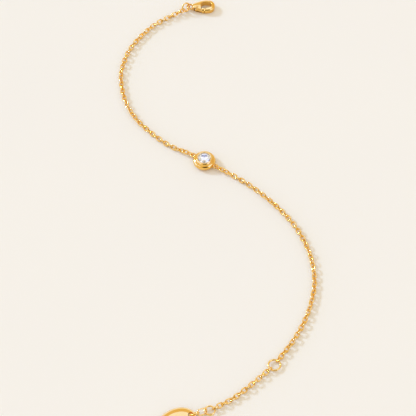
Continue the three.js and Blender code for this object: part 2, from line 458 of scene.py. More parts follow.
@dataclass
class NodeBench:
    """Adds the nodes of one node tree and joins them."""

    tree: bpy.types.NodeTree

    def add(self, kind: str, inputs: dict[object, object], **settings: object) -> bpy.types.Node:
        """Adds one node.

        Args:
            kind: The node's type.
            inputs: What each input holds, by name or number: a socket to join, or a value.
            **settings: The node's own settings.

        Returns:
            The new node.
        """
        node = self.tree.nodes.new(kind)
        for name, value in settings.items():
            setattr(node, name, value)
        for key, value in inputs.items():
            if isinstance(value, bpy.types.NodeSocket):
                self.tree.links.new(value, node.inputs[key])
            else:
                node.inputs[key].default_value = value
        return node

    def mix(self, share: Socket | float, first: object, second: object) -> Socket:
        """Mixes two colours.

        Args:
            share: How much of the second colour there is, from 0 to 1.
            first: The first colour.
            second: The second colour.

        Returns:
            The mixed colour.
        """
        inputs = {"Factor": share, MIX_FIRST: first, MIX_SECOND: second}
        return self.add("ShaderNodeMix", inputs, data_type="RGBA").outputs[MIX_RESULT]

    def between(self, value: Socket, low: float, high: float, first: float, last: float) -> Socket:
        """Carries a value from one range to another and holds it there.

        Args:
            value: The value's socket.
            low: The lowest value read.
            high: The highest value read.
            first: What the lowest value becomes.
            last: What the highest value becomes.

        Returns:
            The new value's socket.
        """
        inputs = {"Value": value, "From Min": low, "From Max": high}
        inputs |= {"To Min": first, "To Max": last}
        return self.add("ShaderNodeMapRange", inputs, interpolation_type="SMOOTHSTEP").outputs[0]

    def noise(self, place: Socket, scale: Socket | float, detail: float) -> Socket:
        """An even, cloudy pattern, as a value round a half."""
        inputs = {"Vector": place, "Scale": scale, "Detail": detail}
        return self.add("ShaderNodeTexNoise", inputs).outputs["Fac"]

    def bump(self, strength: float, depth: float, height: Socket) -> Socket:
        """A surface raised by a height, whose depth is in millimetres."""
        inputs = {"Strength": strength, "Distance": depth * MM, "Height": height}
        return self.add("ShaderNodeBump", inputs).outputs[0]

    def polish(self, place: Socket, cloud_scale: float, mark_scale: float) -> Outputs:
        """The polishing marks, as their Cloud and Height."""
        inputs = {"Position": place, "Cloud Scale": cloud_scale, "Mark Scale": mark_scale}
        return self.add("ShaderNodeGroup", inputs, node_tree=polish_group()).outputs

    def cover(self, inputs: dict[str, object]) -> None:
        """Adds the surface's shader and joins it to the material's output."""
        shader = self.add("ShaderNodeBsdfPrincipled", inputs)
        self.add("ShaderNodeOutputMaterial", {"Surface": shader.outputs[0]})


def rgba(colour: Colour) -> tuple[float, float, float, float]:
    """The colour with a full alpha."""
    return (*colour, 1.0)


def polish_group() -> bpy.types.NodeTree:
    """The faint, uneven marks that polishing and handling leave on metal and stone.

    Returns:
        A node group with a slow cloud from 0 to 1 and a fine height.
    """
    name = "polish_marks"
    if name in bpy.data.node_groups:
        return bpy.data.node_groups[name]
    tree = bpy.data.node_groups.new(name, "ShaderNodeTree")
    for label, way, kind in (
        ("Position", "INPUT", "Vector"),
        ("Cloud Scale", "INPUT", "Float"),
        ("Mark Scale", "INPUT", "Float"),
        ("Cloud", "OUTPUT", "Float"),
        ("Height", "OUTPUT", "Float"),
    ):
        tree.interface.new_socket(label, in_out=way, socket_type=f"NodeSocket{kind}")

    bench = NodeBench(tree)
    source = bench.add("NodeGroupInput", {}).outputs
    cloud = bench.noise(source["Position"], source["Cloud Scale"], detail=2.0)
    strokes = {"Vector": source["Position"], "Rotation": STROKE_TURN, "Scale": STROKE_STRETCH}
    drawn = bench.add("ShaderNodeMapping", strokes).outputs[0]
    marks = bench.noise(drawn, source["Mark Scale"], detail=3.0)
    even = bench.between(cloud, *CLOUD_RANGE, 0.0, 1.0)
    bench.add("NodeGroupOutput", {"Cloud": even, "Height": marks})
    return tree


def started(name: str) -> tuple[bpy.types.Material, NodeBench, Socket]:
    """Starts a material.

    Args:
        name: The material's name.

    Returns:
        The material, a bench for its nodes, and the place on the object that a pattern reads.
    """
    material = bpy.data.materials.new(name)
    material.use_nodes = True
    material.node_tree.nodes.clear()
    bench = NodeBench(material.node_tree)
    return material, bench, bench.add("ShaderNodeTexCoord", {}).outputs["Object"]


@dataclass(frozen=True)
class GoldFinish:
    """Polished yellow gold."""

    name: str
    roughness: float = 0.05
    cloud_scale: float = 500.0
    mark_scale: float = 2600.0
    mark_depth: float = 0.012
    colour: Colour = (0.96, 0.62, 0.19)
    deep_colour: Colour = (0.93, 0.56, 0.13)
    mark_strength: float = 0.3
    dulling: float = 1.5

    def material(self) -> bpy.types.Material:
        """Makes the metal's material.

        Returns:
            The material.
        """
        material, bench, place = started(self.name)
        marks = bench.polish(place, self.cloud_scale, self.mark_scale)
        cloud = marks["Cloud"]
        dull = self.roughness * self.dulling
        bench.cover(
            {
                "Base Color": bench.mix(cloud, rgba(self.colour), rgba(self.deep_colour)),
                "Metallic": 1.0,
                "Roughness": bench.between(cloud, 0.0, 1.0, self.roughness, dull),
                "Normal": bench.bump(self.mark_strength, self.mark_depth, marks["Height"]),
            }
        )
        return material


@dataclass(frozen=True)
class DiamondFinish:
    """Clear, nearly colourless diamond, with a faint painted glow that stands in for the light a
    cut brilliant sends back.
    """

    name: str = "brilliant_diamond"
    colour: Colour = (1.0, 0.975, 0.9)
    cool_colour: Colour = (0.99, 0.98, 0.94)
    cloud_scale: float = 900.0
    mark_scale: float = 3000.0
    # painted light: the colour and strength of a faint emission that brightens the stone, which is
    # no lamp
    painted_glow_colour: Colour = (1.0, 0.98, 0.93)
    painted_glow: float = 0.03
    refraction: float = 2.417

    def material(self) -> bpy.types.Material:
        """Makes the stone's material.

        Returns:
            The material.
        """
        material, bench, place = started(self.name)
        cloud = bench.polish(place, self.cloud_scale, self.mark_scale)["Cloud"]
        bench.cover(
            {
                "Base Color": bench.mix(cloud, rgba(self.colour), rgba(self.cool_colour)),
                "Roughness": 0.0,
                "IOR": self.refraction,
                "Transmission Weight": 1.0,
                # Painted light: a faint emission lifts the stone towards white, in place of the
                # light that a brilliant returns
                "Emission Color": rgba(self.painted_glow_colour),
                "Emission Strength": self.painted_glow,
            }
        )
        return material


@dataclass(frozen=True)
class FloorFinish:
    """A pale, matt, faintly uneven board."""

    name: str = "pale_board"
    colour: Colour = (0.9, 0.9, 0.86)
    second_colour: Colour = (0.88, 0.88, 0.85)
    patch_scale: float = 18.0
    grain_scale: float = 2500.0
    grain_strength: float = 0.15
    grain_depth: float = 0.02
    roughness: float = 0.85
    shine: float = 0.2

    def material(self) -> bpy.types.Material:
        """Makes the board's material.

        Returns:
            The material.
        """
        material, bench, place = started(self.name)
        patches = bench.noise(place, self.patch_scale, detail=1.0)
        grain = bench.noise(place, self.grain_scale, detail=2.0)
        bench.cover(
            {
                "Base Color": bench.mix(patches, rgba(self.colour), rgba(self.second_colour)),
                "Roughness": self.roughness,
                "Specular IOR Level": self.shine,
                "Normal": bench.bump(self.grain_strength, self.grain_depth, grain),
            }
        )
        return material


@dataclass
class Finishes:
    """The materials of the bracelet, each made once."""

    cast_gold: bpy.types.Material
    wire_gold: bpy.types.Material
    tag_gold: bpy.types.Material
    diamond: bpy.types.Material

    @classmethod
    def mixed(cls) -> "Finishes":
        """Mixes the golds and the stone.

        Returns:
            The set of materials.
        """
        cast = GoldFinish("cast_gold")
        wire = GoldFinish(
            "wire_gold",
            roughness=0.07,
            cloud_scale=300,
            mark_scale=4000,
            mark_depth=0.01,
            colour=(1.0, 0.67, 0.2),
            deep_colour=(0.97, 0.6, 0.13),
        )
        tag = GoldFinish(
            "tag_gold", roughness=0.09, cloud_scale=200, mark_scale=1800, mark_depth=0.015
        )
        return cls(*(finish.material() for finish in (cast, wire, tag, DiamondFinish())))


# ---- pieces


@dataclass(frozen=True)
class Piece:
    """One finished piece: its shape in millimetres, the nodes it stands for and its finish."""

    name: str
    shape: BMesh
    nodes: tuple[str, ...]
    material: bpy.types.Material
    body: Body = Body.BRACELET
    slot: Slot = Slot.GOLD
    smoothing: int = 0
    crease_deg: float = 50.0

    def make(self) -> bpy.types.Object:
        """Turns the shape into an object that rides on its body.

        Returns:
            The object, at the origin with its place in its mesh.
        """
        for face in self.shape.faces:
            face.smooth = True
        for edge in sharp_edges(self.shape, self.crease_deg):
            edge.smooth = False
        bmesh.ops.scale(self.shape, verts=self.shape.verts, vec=(MM, MM, MM))
        item = put(self.name, as_mesh(self.shape, self.name))
        item.data.materials.append(self.material)
        if self.smoothing:
            modifier = item.modifiers.new("smoothing", "SUBSURF")
            modifier.levels = self.smoothing
            modifier.render_levels = self.smoothing
        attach(item, self.body.value)
        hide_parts(*self.nodes)
        return item


# ---- chain

CHAIN_LINK = WireRing(length=1.98, width=1.44, wire=0.38, sides=6, steps=12)
FLAT_RINGS = {
    "sizing_ring": WireRing(length=3.4, width=3.4, wire=0.45),
    "end_ring": WireRing(length=2.8, width=2.8, wire=0.42),
}
LOOP_ANGLE_DEG = 148.0  # where the setting's first loop lies; the other is opposite


@dataclass(frozen=True)
class Hook:
    """How the last link of a run holds: its middle, its height and how steeply it stands."""

    middle: Pair
    height: float
    lean_deg: float


class RouteLine:
    """One smooth level curve through a list of points, measured along its length."""

    def __init__(self, points: list[Pair], steps: int = 40) -> None:
        """Draws the curve, a centripetal one, and measures it.

        Args:
            points: The points that the curve passes through, in order.
            steps: The number of short lines between one point and the next.
        """
        knots = [Vector(p) for p in points]
        knots = [2 * knots[0] - knots[1], *knots, 2 * knots[-1] - knots[-2]]
        self.line = [knots[1]]
        for a, b, c, d in zip(knots, knots[1:], knots[2:], knots[3:]):
            gap_a, gap_b, gap_c = (math.sqrt((q - p).length) for p, q in ((a, b), (b, c), (c, d)))
            leaving = gap_b * ((b - a) / gap_a - (c - a) / (gap_a + gap_b) + (c - b) / gap_b)
            arriving = gap_b * ((c - b) / gap_b - (d - b) / (gap_b + gap_c) + (d - c) / gap_c)
            for i in range(1, steps + 1):
                t = i / steps
                self.line.append(
                    b * (2 * t**3 - 3 * t**2 + 1)
                    + c * (3 * t**2 - 2 * t**3)
                    + leaving * (t**3 - 2 * t**2 + t)
                    + arriving * (t**3 - t**2)
                )
        self.marks = [0.0]
        for p, q in zip(self.line, self.line[1:]):
            self.marks.append(self.marks[-1] + (q - p).length)

    @property
    def length(self) -> float:
        """The curve's whole length."""
        return self.marks[-1]

    def at(self, distance: float) -> Vector:
        """The point at a distance along the curve, which runs on straight past its ends.

        Args:
            distance: The distance from the first point.

        Returns:
            The point.
        """
        last = len(self.marks) - 2
        span = next((i for i, m in enumerate(self.marks[1:-1]) if m >= distance), last)
        low, high = self.marks[span], self.marks[span + 1]
        return self.line[span].lerp(self.line[span + 1], (distance - low) / (high - low))


@dataclass
class LinkChain:
    """A run of round-wire cable chain between two hooks."""

    node: str
    start: Hook
    route: tuple[Pair, ...]
    end: Hook
    seed: int
    swing_start: float
    link: WireRing = CHAIN_LINK
    rest_lean_deg: float = 45.0
    settle_length: float = 6.0
    roll_swing_deg: float = 17.0
    swing_length: float = 21.0
    wander_deg: float = 5.0
    floor_gap: float = 0.01

    def resting_height(self, lean_deg: float) -> float:
        """The height of a link's middle when its lower side touches the surface.

        Args:
            lean_deg: How far the link is rolled about its own length.

        Returns:
            The height.
        """
        reach = (self.link.width - self.link.wire) / 2
        return reach * abs(math.sin(math.radians(lean_deg))) + self.link.wire / 2 + self.floor_gap

    def settled(
        self, start: float, end: float, rest: float, distance: float, length: float
    ) -> float:
        """A value that eases from each end of the run to how the chain rests.

        Args:
            start: The value at the start.
            end: The value at the end.
            rest: The value along the middle.
            distance: The distance from the start.
            length: The run's whole length.

        Returns:
            The value at that distance.
        """
        near_start = fall(distance / self.settle_length)
        near_end = fall((length - distance) / self.settle_length)
        return rest + (start - rest) * near_start + (end - rest) * near_end

    def places(self) -> list[Matrix]:
        """Works out where each link lies.

        Returns:
            One matrix for each link, from the start to the end.
        """
        line = RouteLine([self.start.middle, *self.route, self.end.middle])
        rest_pitch = self.link.length - 2 * self.link.wire
        gaps = math.ceil(line.length / rest_pitch)
        pitch = line.length / gaps
        draw = random.Random(self.seed)
        from_end = self.end.lean_deg > self.start.lean_deg
        rest_height = self.resting_height(self.rest_lean_deg)
        found = []
        for i in range(gaps + 1):
            distance = i * pitch
            run = (distance, line.length)
            lean = self.settled(self.start.lean_deg, self.end.lean_deg, self.rest_lean_deg, *run)
            free = self.settled(0, 0, 1, *run)
            height = self.settled(self.start.height, self.end.height, rest_height, *run)
            turn = gaps - i if from_end else i
            swing = math.sin(2 * math.pi * (distance / self.swing_length + self.swing_start))
            stray = self.roll_swing_deg * swing + draw.uniform(-self.wander_deg, self.wander_deg)
            roll = lean + 90 * (turn % 2) + free * stray
            along = line.at(distance + pitch / 2) - line.at(distance - pitch / 2)
            middle = (*line.at(distance), max(height, self.resting_height(roll)))
            level = Matrix.Rotation(math.atan2(along.y, along.x), 4, "Z")
            found.append(Matrix.Translation(middle) @ level @ turned(roll, "X"))
        return found

    def piece(self, finishes: Finishes) -> Piece:
        """Threads the links.

        Args:
            finishes: The bracelet's materials.

        Returns:
            The run of chain as one piece.
        """
        pattern = as_mesh(self.link.cage(), "link")
        shape = bmesh.new()
        for place in self.places():
            add_copy(shape, pattern, place)
        bpy.data.meshes.remove(pattern)
        return Piece(f"{self.node}_links", shape, (self.node,), finishes.wire_gold, smoothing=1)


@dataclass
class Chains:
    """The three runs of chain, from the clasp past the stone to the tag end."""

    link: WireRing = CHAIN_LINK
    loop_reach: float = 3.97
    loop_wire: float = 0.4
    loop_height: float = 0.9
    clasp_hook: Hook = Hook((-6.1, 52.15), height=0.94, lean_deg=75)
    ring_lean_deg: float = 57.0
    slack: float = 0.05
    clasp_side_route: tuple[Pair, ...] = (
        (-11.5, 49), (-15, 46), (-20, 39), (-22, 33), (-22.5, 28.5),
        (-21, 20), (-18, 14), (-15.5, 11), (-9.5, 5.5),
    )
    long_route: tuple[Pair, ...] = (
        (8, -5), (12, -8), (18.5, -14.5), (22, -19), (24, -22.5), (26.5, -29),
        (27.5, -36.5), (27, -41.5), (25, -48.5), (22, -54.5),
    )
    end_route: tuple[Pair, ...] = ((12.6, -66.2), (9, -69.5), (6.5, -71.5))

    def reach_past(self, wire: float) -> float:
        """How far a link's middle lies past the wire that it holds on to."""
        return self.link.inner_half_length - wire / 2 - self.slack

    def at_setting(self, side_deg: float) -> Hook:
        """The hook of the link that stands in one of the setting's loops.

        Args:
            side_deg: 0 for the loop that LOOP_ANGLE_DEG gives, or 180 for the other.

        Returns:
            The hook.
        """
        middle = heading(LOOP_ANGLE_DEG + side_deg)
        middle *= self.loop_reach + self.reach_past(self.loop_wire)
        return Hook((middle.x, middle.y), self.loop_height, lean_deg=90)

    def at_ring(self, node: str, towards: Pair) -> Hook:
        """The hook of the link that holds on to a ring that lies flat.

        Args:
            node: The ring.
            towards: The next point of the chain's route.

        Returns:
            The hook.
        """
        low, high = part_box(node)
        wire = FLAT_RINGS[node].wire
        centre = box_middle(node)
        radius = (high.x - low.x) / (2 * MM) - wire / 2
        away = (Vector(towards) - centre.xy).normalized()
        middle = centre.xy + away * (radius + self.reach_past(wire))
        return Hook((middle.x, middle.y), centre.z, self.ring_lean_deg)

    def build(self, finishes: Finishes) -> list[Piece]:
        """Makes the three runs.

        Args:
            finishes: The bracelet's materials.

        Returns:
            One piece for each run.
        """
        sizing, last = "sizing_ring", "end_ring"
        short, long, tail = self.clasp_side_route, self.long_route, self.end_route
        starts = (self.clasp_hook, self.at_setting(180), self.at_ring(sizing, tail[0]))
        ends = (self.at_setting(0), self.at_ring(sizing, long[-1]), self.at_ring(last, tail[-1]))
        runs = [
            LinkChain("chain_clasp_side", starts[0], short, ends[0], seed=3, swing_start=0.1),
            LinkChain("chain_long", starts[1], long, ends[1], seed=5, swing_start=0.45),
            LinkChain("chain_end", starts[2], tail, ends[2], seed=8, swing_start=0.0),
        ]
        return [run.piece(finishes) for run in runs]


# ---- setting and stone


@dataclass
class BezelSetting:
    """A puffed cup with a raised lip round the stone, and a solder loop on each side."""

    base_radius: float = 2.1
    girth_radius: float = 2.92
    girth_height: float = 0.9
    groove_radius: float = 2.2
    groove_height: float = 1.68
    lip_outer_radius: float = 2.15
    lip_top_radius: float = 1.93
    lip_top_height: float = 2.15
    lip_fall: float = 0.18
    lip_inner_radius: float = 1.63
    lip_inner_height: float = 2.04
    lip_chamfer: float = 0.06
    lip_thickness: float = 0.13
    seat_radius: float = 1.86
    seat_height: float = 1.68
    pocket_radius: float = 1.45
    pocket_top: float = 1.4
    pocket_floor: float = 0.15
    side_steps: int = 5
    turn_steps: int = 96
    edge_rounding: float = 0.045
    loop: WireRing = WireRing(length=1.5, width=1.5, wire=0.4, sides=12, steps=36)
    loop_reach: float = 3.42
    solder_size: tuple[float, float, float] = (0.3, 0.4, 0.24)

    def side(self, low: Pair, high: Pair, upper: bool) -> list[Pair]:
        """A quarter of an ellipse between two radii and heights.

        Args:
            low: The radius and height where it starts.
            high: The radius and height where it ends.
            upper: Whether it starts upright and ends level, or the other way round.

        Returns:
            The points after the first.
        """
        points = []
        for i in range(1, self.side_steps + 1):
            angle = math.pi / 2 * i / self.side_steps
            out, up = (1 - math.cos(angle), math.sin(angle))
            if not upper:
                out, up = up, out
            points.append((low[0] + (high[0] - low[0]) * out, low[1] + (high[1] - low[1]) * up))
        return points

    def profile(self) -> list[Pair]:
        """Draws the cup's half section.

        Returns:
            Its points, from the middle of the underside round to the pocket's floor.
        """
        base = (self.base_radius, 0.0)
        girth = (self.girth_radius, self.girth_height)
        groove = (self.groove_radius, self.groove_height)
        return [
            (0.0, 0.0),
            base,
            *self.side(base, girth, upper=False),
            *self.side(girth, groove, upper=True),
            (self.lip_outer_radius, self.lip_top_height - self.lip_fall),
            (self.lip_top_radius, self.lip_top_height),
            (self.lip_inner_radius + self.lip_chamfer, self.lip_top_height),
            (self.lip_inner_radius, self.lip_inner_height),
            (self.seat_radius, self.lip_inner_height - self.lip_thickness),
            (self.seat_radius, self.seat_height),
            (self.pocket_radius, self.pocket_top),
            (self.pocket_radius, self.pocket_floor),
            (0.0, self.pocket_floor),
        ]

    def cup(self) -> BMesh:
        """Turns the half section round the upright axis.

        Returns:
            The cup, with its edges rounded.
        """
        shape = bmesh.new()
        points = [shape.verts.new((radius, 0, height)) for radius, height in self.profile()]
        edges = [shape.edges.new(pair) for pair in zip(points, points[1:])]
        spun(shape, points + edges, FULL_TURN, self.turn_steps)
        bmesh.ops.remove_doubles(shape, verts=shape.verts, dist=NEAR / 2)
        bmesh.ops.recalc_face_normals(shape, faces=shape.faces)
        return rounded(shape, self.edge_rounding, segments=3, degrees=24)

    def build(self, finishes: Finishes) -> list[Piece]:
        """Makes the cup and solders its loops on.

        Args:
            finishes: The bracelet's materials.

        Returns:
            The setting as one piece.
        """
        shape = self.cup()
        height = Vector((0, 0, self.girth_height))
        for side in (0, 180):
            angle = LOOP_ANGLE_DEG + side
            away = heading(angle)
            ring = smoothed(self.loop.cage(), 1)
            moved(ring, Matrix.Translation(away * self.loop_reach + height))
            solder = bmesh.new()
            bmesh.ops.create_uvsphere(solder, u_segments=24, v_segments=14, radius=1)
            bmesh.ops.scale(solder, verts=solder.verts, vec=self.solder_size)
            foot = Matrix.Translation(away * self.girth_radius + height)
            moved(solder, foot @ turned(angle, "Z"))
            shape = worked(worked(shape, ring, Cut.JOIN), solder, Cut.JOIN)
        name = "bezel_setting"
        return [Piece(f"{name}_cup", shape, (name,), finishes.cast_gold, crease_deg=42)]


@dataclass
class BrilliantDiamond:
    """A round brilliant, cut facet by facet from a round blank."""

    girdle_radius: float = 1.75
    table_radius: float = 1.0
    culet_height: float = 0.27
    girdle_bottom: float = 1.78
    girdle_top: float = 1.84
    table_height: float = 2.355
    fold: int = 8
    star_reach: float = 0.5
    lower_reach: float = 0.77
    blank_sides: int = 96

    def grind(self, shape: BMesh, first_deg: float, step_deg: float, low: Pair, high: Pair) -> None:
        """Grinds a ring of flat facets.

        Args:
            shape: The stone.
            first_deg: The angle of the first facet.
            step_deg: The angle from one facet to the next.
            low: The radius and height of a lower point of each facet.
            high: The radius and height of an upper point of each facet.
        """
        run = Vector((high[0] - low[0], high[1] - low[1]))
        outward = Vector((run.y, -run.x)).normalized()
        if outward.x < 0:
            outward = -outward
        for i in range(round(FULL_TURN / step_deg)):
            away = heading(first_deg + i * step_deg)
            cut = bmesh.ops.bisect_plane(
                shape,
                geom=everything(shape),
                plane_co=away * low[0] + Vector((0, 0, low[1])),
                plane_no=away * outward.x + Vector((0, 0, outward.y)),
                clear_outer=True,
            )
            bmesh.ops.contextual_create(shape, geom=only(BMEdge, cut["geom_cut"]))

    def build(self, finishes: Finishes) -> list[Piece]:
        """Cuts the crown and the pavilion.

        Args:
            finishes: The bracelet's materials.

        Returns:
            The stone as one piece.
        """
        step = FULL_TURN / self.fold
        half_cos = math.cos(math.radians(step / 2))
        quarter_cos = math.cos(math.radians(step / 4))
        rise = self.table_height - self.girdle_top
        crown_slope = rise / (self.girdle_radius - self.table_radius)
        pavilion_slope = (self.girdle_bottom - self.culet_height) / self.girdle_radius
        table_middle = self.table_radius * half_cos
        star_tip = table_middle + self.star_reach * (self.girdle_radius - table_middle)
        star_height = self.table_height - crown_slope * (star_tip * half_cos - self.table_radius)
        girdle_middle = self.girdle_radius * quarter_cos
        lower_tip = self.girdle_radius * (1 - self.lower_reach)
        lower_height = self.culet_height + pavilion_slope * lower_tip * half_cos

        table = (self.table_radius, self.table_height)
        star = (star_tip, star_height)
        table_edge = (table_middle, self.table_height)
        star_side = (star_tip * quarter_cos, star_height)
        culet = (0.0, self.culet_height)
        girdle = (self.girdle_radius, self.girdle_bottom)
        lower_side = (lower_tip * quarter_cos, lower_height)
        span = (self.culet_height, self.table_height)
        stone = rod(self.girdle_radius, *span, sides=self.blank_sides)
        self.grind(stone, 0, step, (self.girdle_radius, self.girdle_top), table)
        self.grind(stone, step / 2, step, star, table_edge)
        self.grind(stone, step / 4, step / 2, (girdle_middle, self.girdle_top), star_side)
        self.grind(stone, 0, step, culet, girdle)
        self.grind(stone, step / 4, step / 2, lower_side, (girdle_middle, self.girdle_bottom))
        bmesh.ops.recalc_face_normals(stone, faces=stone.faces)
        name = "diamond"
        material = finishes.diamond
        return [
            Piece(f"{name}_brilliant", stone, (name,), material, slot=Slot.DIAMOND, crease_deg=3)
        ]


# ---- clasp


@dataclass
class LobsterClasp:
    """A lobster clasp: the hooked body, its spring lever, the pin, and the ring on the chain.

    In its own frame X runs from the middle of the tail loop to the head, and Z is 0 half way up.
    """

    turn_deg: float = 3.0
    thickness: float = 1.7
    head_centre: float = 4.9
    half_width: float = 2.0
    window_half_width: float = 1.05
    window_start: float = 3.0
    hook_tip: float = 4.32
    tip_slope: float = 0.4
    neck_start: float = 0.75
    neck_half_width: float = 0.75
    neck_thinning: float = 0.3
    taper_end: float = 3.6
    taper_power: float = 0.8
    top_rounding: float = 0.45
    under_rounding: float = 0.3
    inner_rounding: float = 0.17
    dome_share: float = 0.34
    corner_fill: float = 0.6
    upright_from: float = 0.2
    contour_share: float = 0.98
    housing_parts: int = 4
    head_steps: int = 10
    loop_radius: float = 1.05
    loop_hole_radius: float = 0.62
    loop_thickness: float = 0.7
    loop_height: float = 0.13
    loop_sides: int = 10
    loop_steps: int = 32
    slot_half: float = 0.5
    slot_start: float = 1.0
    slot_depth: float = 0.3
    slot_rounding: float = 0.08
    blade_thickness: float = 0.8
    blade_rounding: float = 0.09
    blade_inner: tuple[Pair, ...] = (
        (4.1, -1.1), (3.15, -1.1), (2.75, -0.55), (2.25, -0.2),
        (1.75, -0.15), (1.45, -0.5), (1.2, -1.0),
    )
    blade_outer: tuple[Pair, ...] = (
        (3.9, -1.8), (3.15, -1.8), (2.7, -1.62), (2.25, -1.4),
        (1.85, -1.2), (1.6, -1.25), (1.32, -1.45),
    )
    gate_start: float = 3.15
    gate_tip: float = 4.22
    gate_inner: float = -1.08
    gate_outer: float = -1.9
    gate_thickness: float = 1.56
    pivot: Pair = (1.95, -0.6)
    pin_radius: float = 0.28
    pin_gap: float = 0.03
    pin_rounding: float = 0.07
    drill_reach: float = 2.0
    ring: WireRing = WireRing(length=2.8, width=2.8, wire=0.42, joint_deg=3)
    ring_turn_deg: float = 40.0
    ring_lean_deg: float = 20.0

    def place(self) -> Matrix:
        """Finds where the clasp's own frame lies, from the lever's hinge.

        Returns:
            The matrix from the clasp's own frame to the bracelet's.
        """
        hinge = next(j for j in frame["joints"] if j["name"] == "lever_hinge")
        pin = Vector(hinge["pos_m"]) / MM
        back = Matrix.Translation((-self.pivot[0], -self.pivot[1], 0))
        return Matrix.Translation(pin) @ turned(self.turn_deg, "Z") @ back

    def half_width_at(self, along: float) -> float:
        """Half the body's width at a distance along it, up to the end of its taper.

        Args:
            along: The distance from the middle of the tail loop.

        Returns:
            Half the width there.
        """
        share = (along - self.neck_start) / (self.taper_end - self.neck_start)
        grown = min(max(share, 0.0), 1.0) ** self.taper_power
        return self.neck_half_width + (self.half_width - self.neck_half_width) * grown

    def hook_cage(self) -> BMesh:
        """Makes the housing, with a rail from its front that is bent round to the hook's tip.

        Returns:
            The rounded hook and housing.
        """
        half = self.thickness / 2
        shape = block(
            Vector((self.neck_start, -self.half_width, -half)),
            Vector((self.window_start, self.half_width, half)),
        )
        span = self.window_start - self.neck_start
        parts = self.housing_parts
        cuts = [((self.neck_start + span * i / parts, 0, 0), (1, 0, 0)) for i in range(1, parts)]
        cuts += [((0, side * self.window_half_width, 0), (0, 1, 0)) for side in (-1, 1)]
        for point, normal in cuts:
            bmesh.ops.bisect_plane(shape, geom=everything(shape), plane_co=point, plane_no=normal)

        rail_foot = Vector((self.window_start, self.half_width, 0))
        front = [f for f in shape.faces if f.normal.x > ALIGNED]
        end = min(front, key=lambda f: (f.calc_center_median() - rail_foot).length)
        end = self.drawn_out(shape, end, self.taper_end - self.window_start)
        end = self.drawn_out(shape, end, self.head_centre - self.taper_end)
        far_side = spun(shape, [end], -FULL_TURN / 2, self.head_steps, self.head_centre)
        bmesh.ops.delete(shape, geom=[end], context="FACES_ONLY")
        end = self.drawn_out(shape, only(BMFace, far_side)[0], self.hook_tip - self.head_centre)
        for vert in end.verts:
            vert.co.x += self.tip_slope * (vert.co.y + self.window_half_width)
        for vert in shape.verts:
            self.tapered(vert)
        bmesh.ops.recalc_face_normals(shape, faces=shape.faces)
        return self.softened(shape)

    def tapered(self, vert: BMVert) -> None:
        """Draws a corner of the cage in towards the neck.

        Args:
            vert: The corner, which is moved.
        """
        place = vert.co
        width = self.half_width_at(place.x)
        share = width / self.half_width
        if place.x <= self.window_start + NEAR:
            if abs(place.y) > self.window_half_width + NEAR:
                place.y = math.copysign(width, place.y)
            elif place.x < self.window_start - NEAR:
                place.y *= share
            elif place.y > 0:
                place.y -= self.corner_fill
            place.z *= 1 - self.neck_thinning * (1 - share)
        elif place.x < self.taper_end + NEAR and place.y > self.window_half_width + NEAR:
            place.y = width

    def softened(self, shape: BMesh) -> BMesh:
        """Rounds the cage: much on the outer top edge, less below, and little round the window.

        Args:
            shape: The cage, which is freed.

        Returns:
            The rounded body.
        """
        weights = shape.edges.layers.float.new(WEIGHT_LAYER)
        for edge in sharp_edges(shape, degrees=40):
            ends = [v.co for v in edge.verts]
            upright = abs((ends[0] - ends[1]).z) > self.upright_from
            if upright or not all(self.reach_share(p) > self.contour_share for p in ends):
                radius = self.inner_rounding
            elif ends[0].z > 0:
                radius = self.top_rounding
            else:
                radius = self.under_rounding
            edge[weights] = radius / self.top_rounding
        return self.eased(shape)

    def reach_share(self, point: Vector) -> float:
        """How far out towards the body's contour a point lies, from 0 to about 1."""
        past_head = max(point.x - self.head_centre, 0.0)
        return math.hypot(past_head, point.y) / self.half_width_at(point.x)

    def eased(self, shape: BMesh) -> BMesh:
        """Rounds a cage by its edges' weights, and lowers its upper half towards the contour.

        Args:
            shape: The cage, which is freed.

        Returns:
            The rounded shape, with a shallow dome for its top.
        """
        width = self.top_rounding
        shape = carried_out(
            shape, "BEVEL", limit_method="WEIGHT", width=width, segments=4, profile=0.5
        )
        shape = smoothed(shape, 1)
        for vert in shape.verts:
            if vert.co.z > 0:
                vert.co.z *= 1 - self.dome_share * min(self.reach_share(vert.co), 1.0) ** 2
        return shape

    @staticmethod
    def drawn_out(shape: BMesh, face: BMFace, distance: float) -> BMFace:
        """Draws a face out along X.

        Args:
            shape: The shape that the face is part of.
            face: The face.
            distance: How far it goes.

        Returns:
            The face at the new end.
        """
        end = raised(shape, [face], (distance, 0, 0))
        bmesh.ops.delete(shape, geom=[face], context="FACES_ONLY")
        return end

    def tail_loop(self) -> BMesh:
        """Makes the flat round eye behind the housing.

        Returns:
            The eye.
        """
        shape = bmesh.new()
        bmesh.ops.create_circle(shape, segments=self.loop_sides, radius=1)
        wall = (self.loop_radius - self.loop_hole_radius) / 2
        grown = swell(self.loop_sides)
        section = (grown * wall, grown * self.loop_thickness / 2, 1)
        bmesh.ops.scale(shape, verts=shape.verts, vec=section)
        middle = (self.loop_radius + self.loop_hole_radius) / 2
        moved(shape, Matrix.Translation((middle, 0, 0)) @ turned(90, "X"))
        spun(shape, everything(shape), FULL_TURN, self.loop_steps)
        bmesh.ops.recalc_face_normals(shape, faces=shape.faces)
        return moved(smoothed(shape, 1), Matrix.Translation((0, 0, self.loop_height)))

    def body(self) -> BMesh:
        """Makes the cast body, with the lever's slot and the pin's bore cut through it.

        Returns:
            The body.
        """
        shape = worked(self.hook_cage(), self.tail_loop(), Cut.JOIN)
        slot = block(
            Vector((self.slot_start, -2 * self.half_width, -self.slot_half)),
            Vector((self.window_start + self.slot_half, self.slot_depth, self.slot_half)),
        )
        return self.bored(worked(shape, rounded(slot, self.slot_rounding), Cut.REMOVE))

    def at_pivot(self, shape: BMesh) -> BMesh:
        """Puts a shape on the lever's pivot."""
        return moved(shape, Matrix.Translation((*self.pivot, 0)))

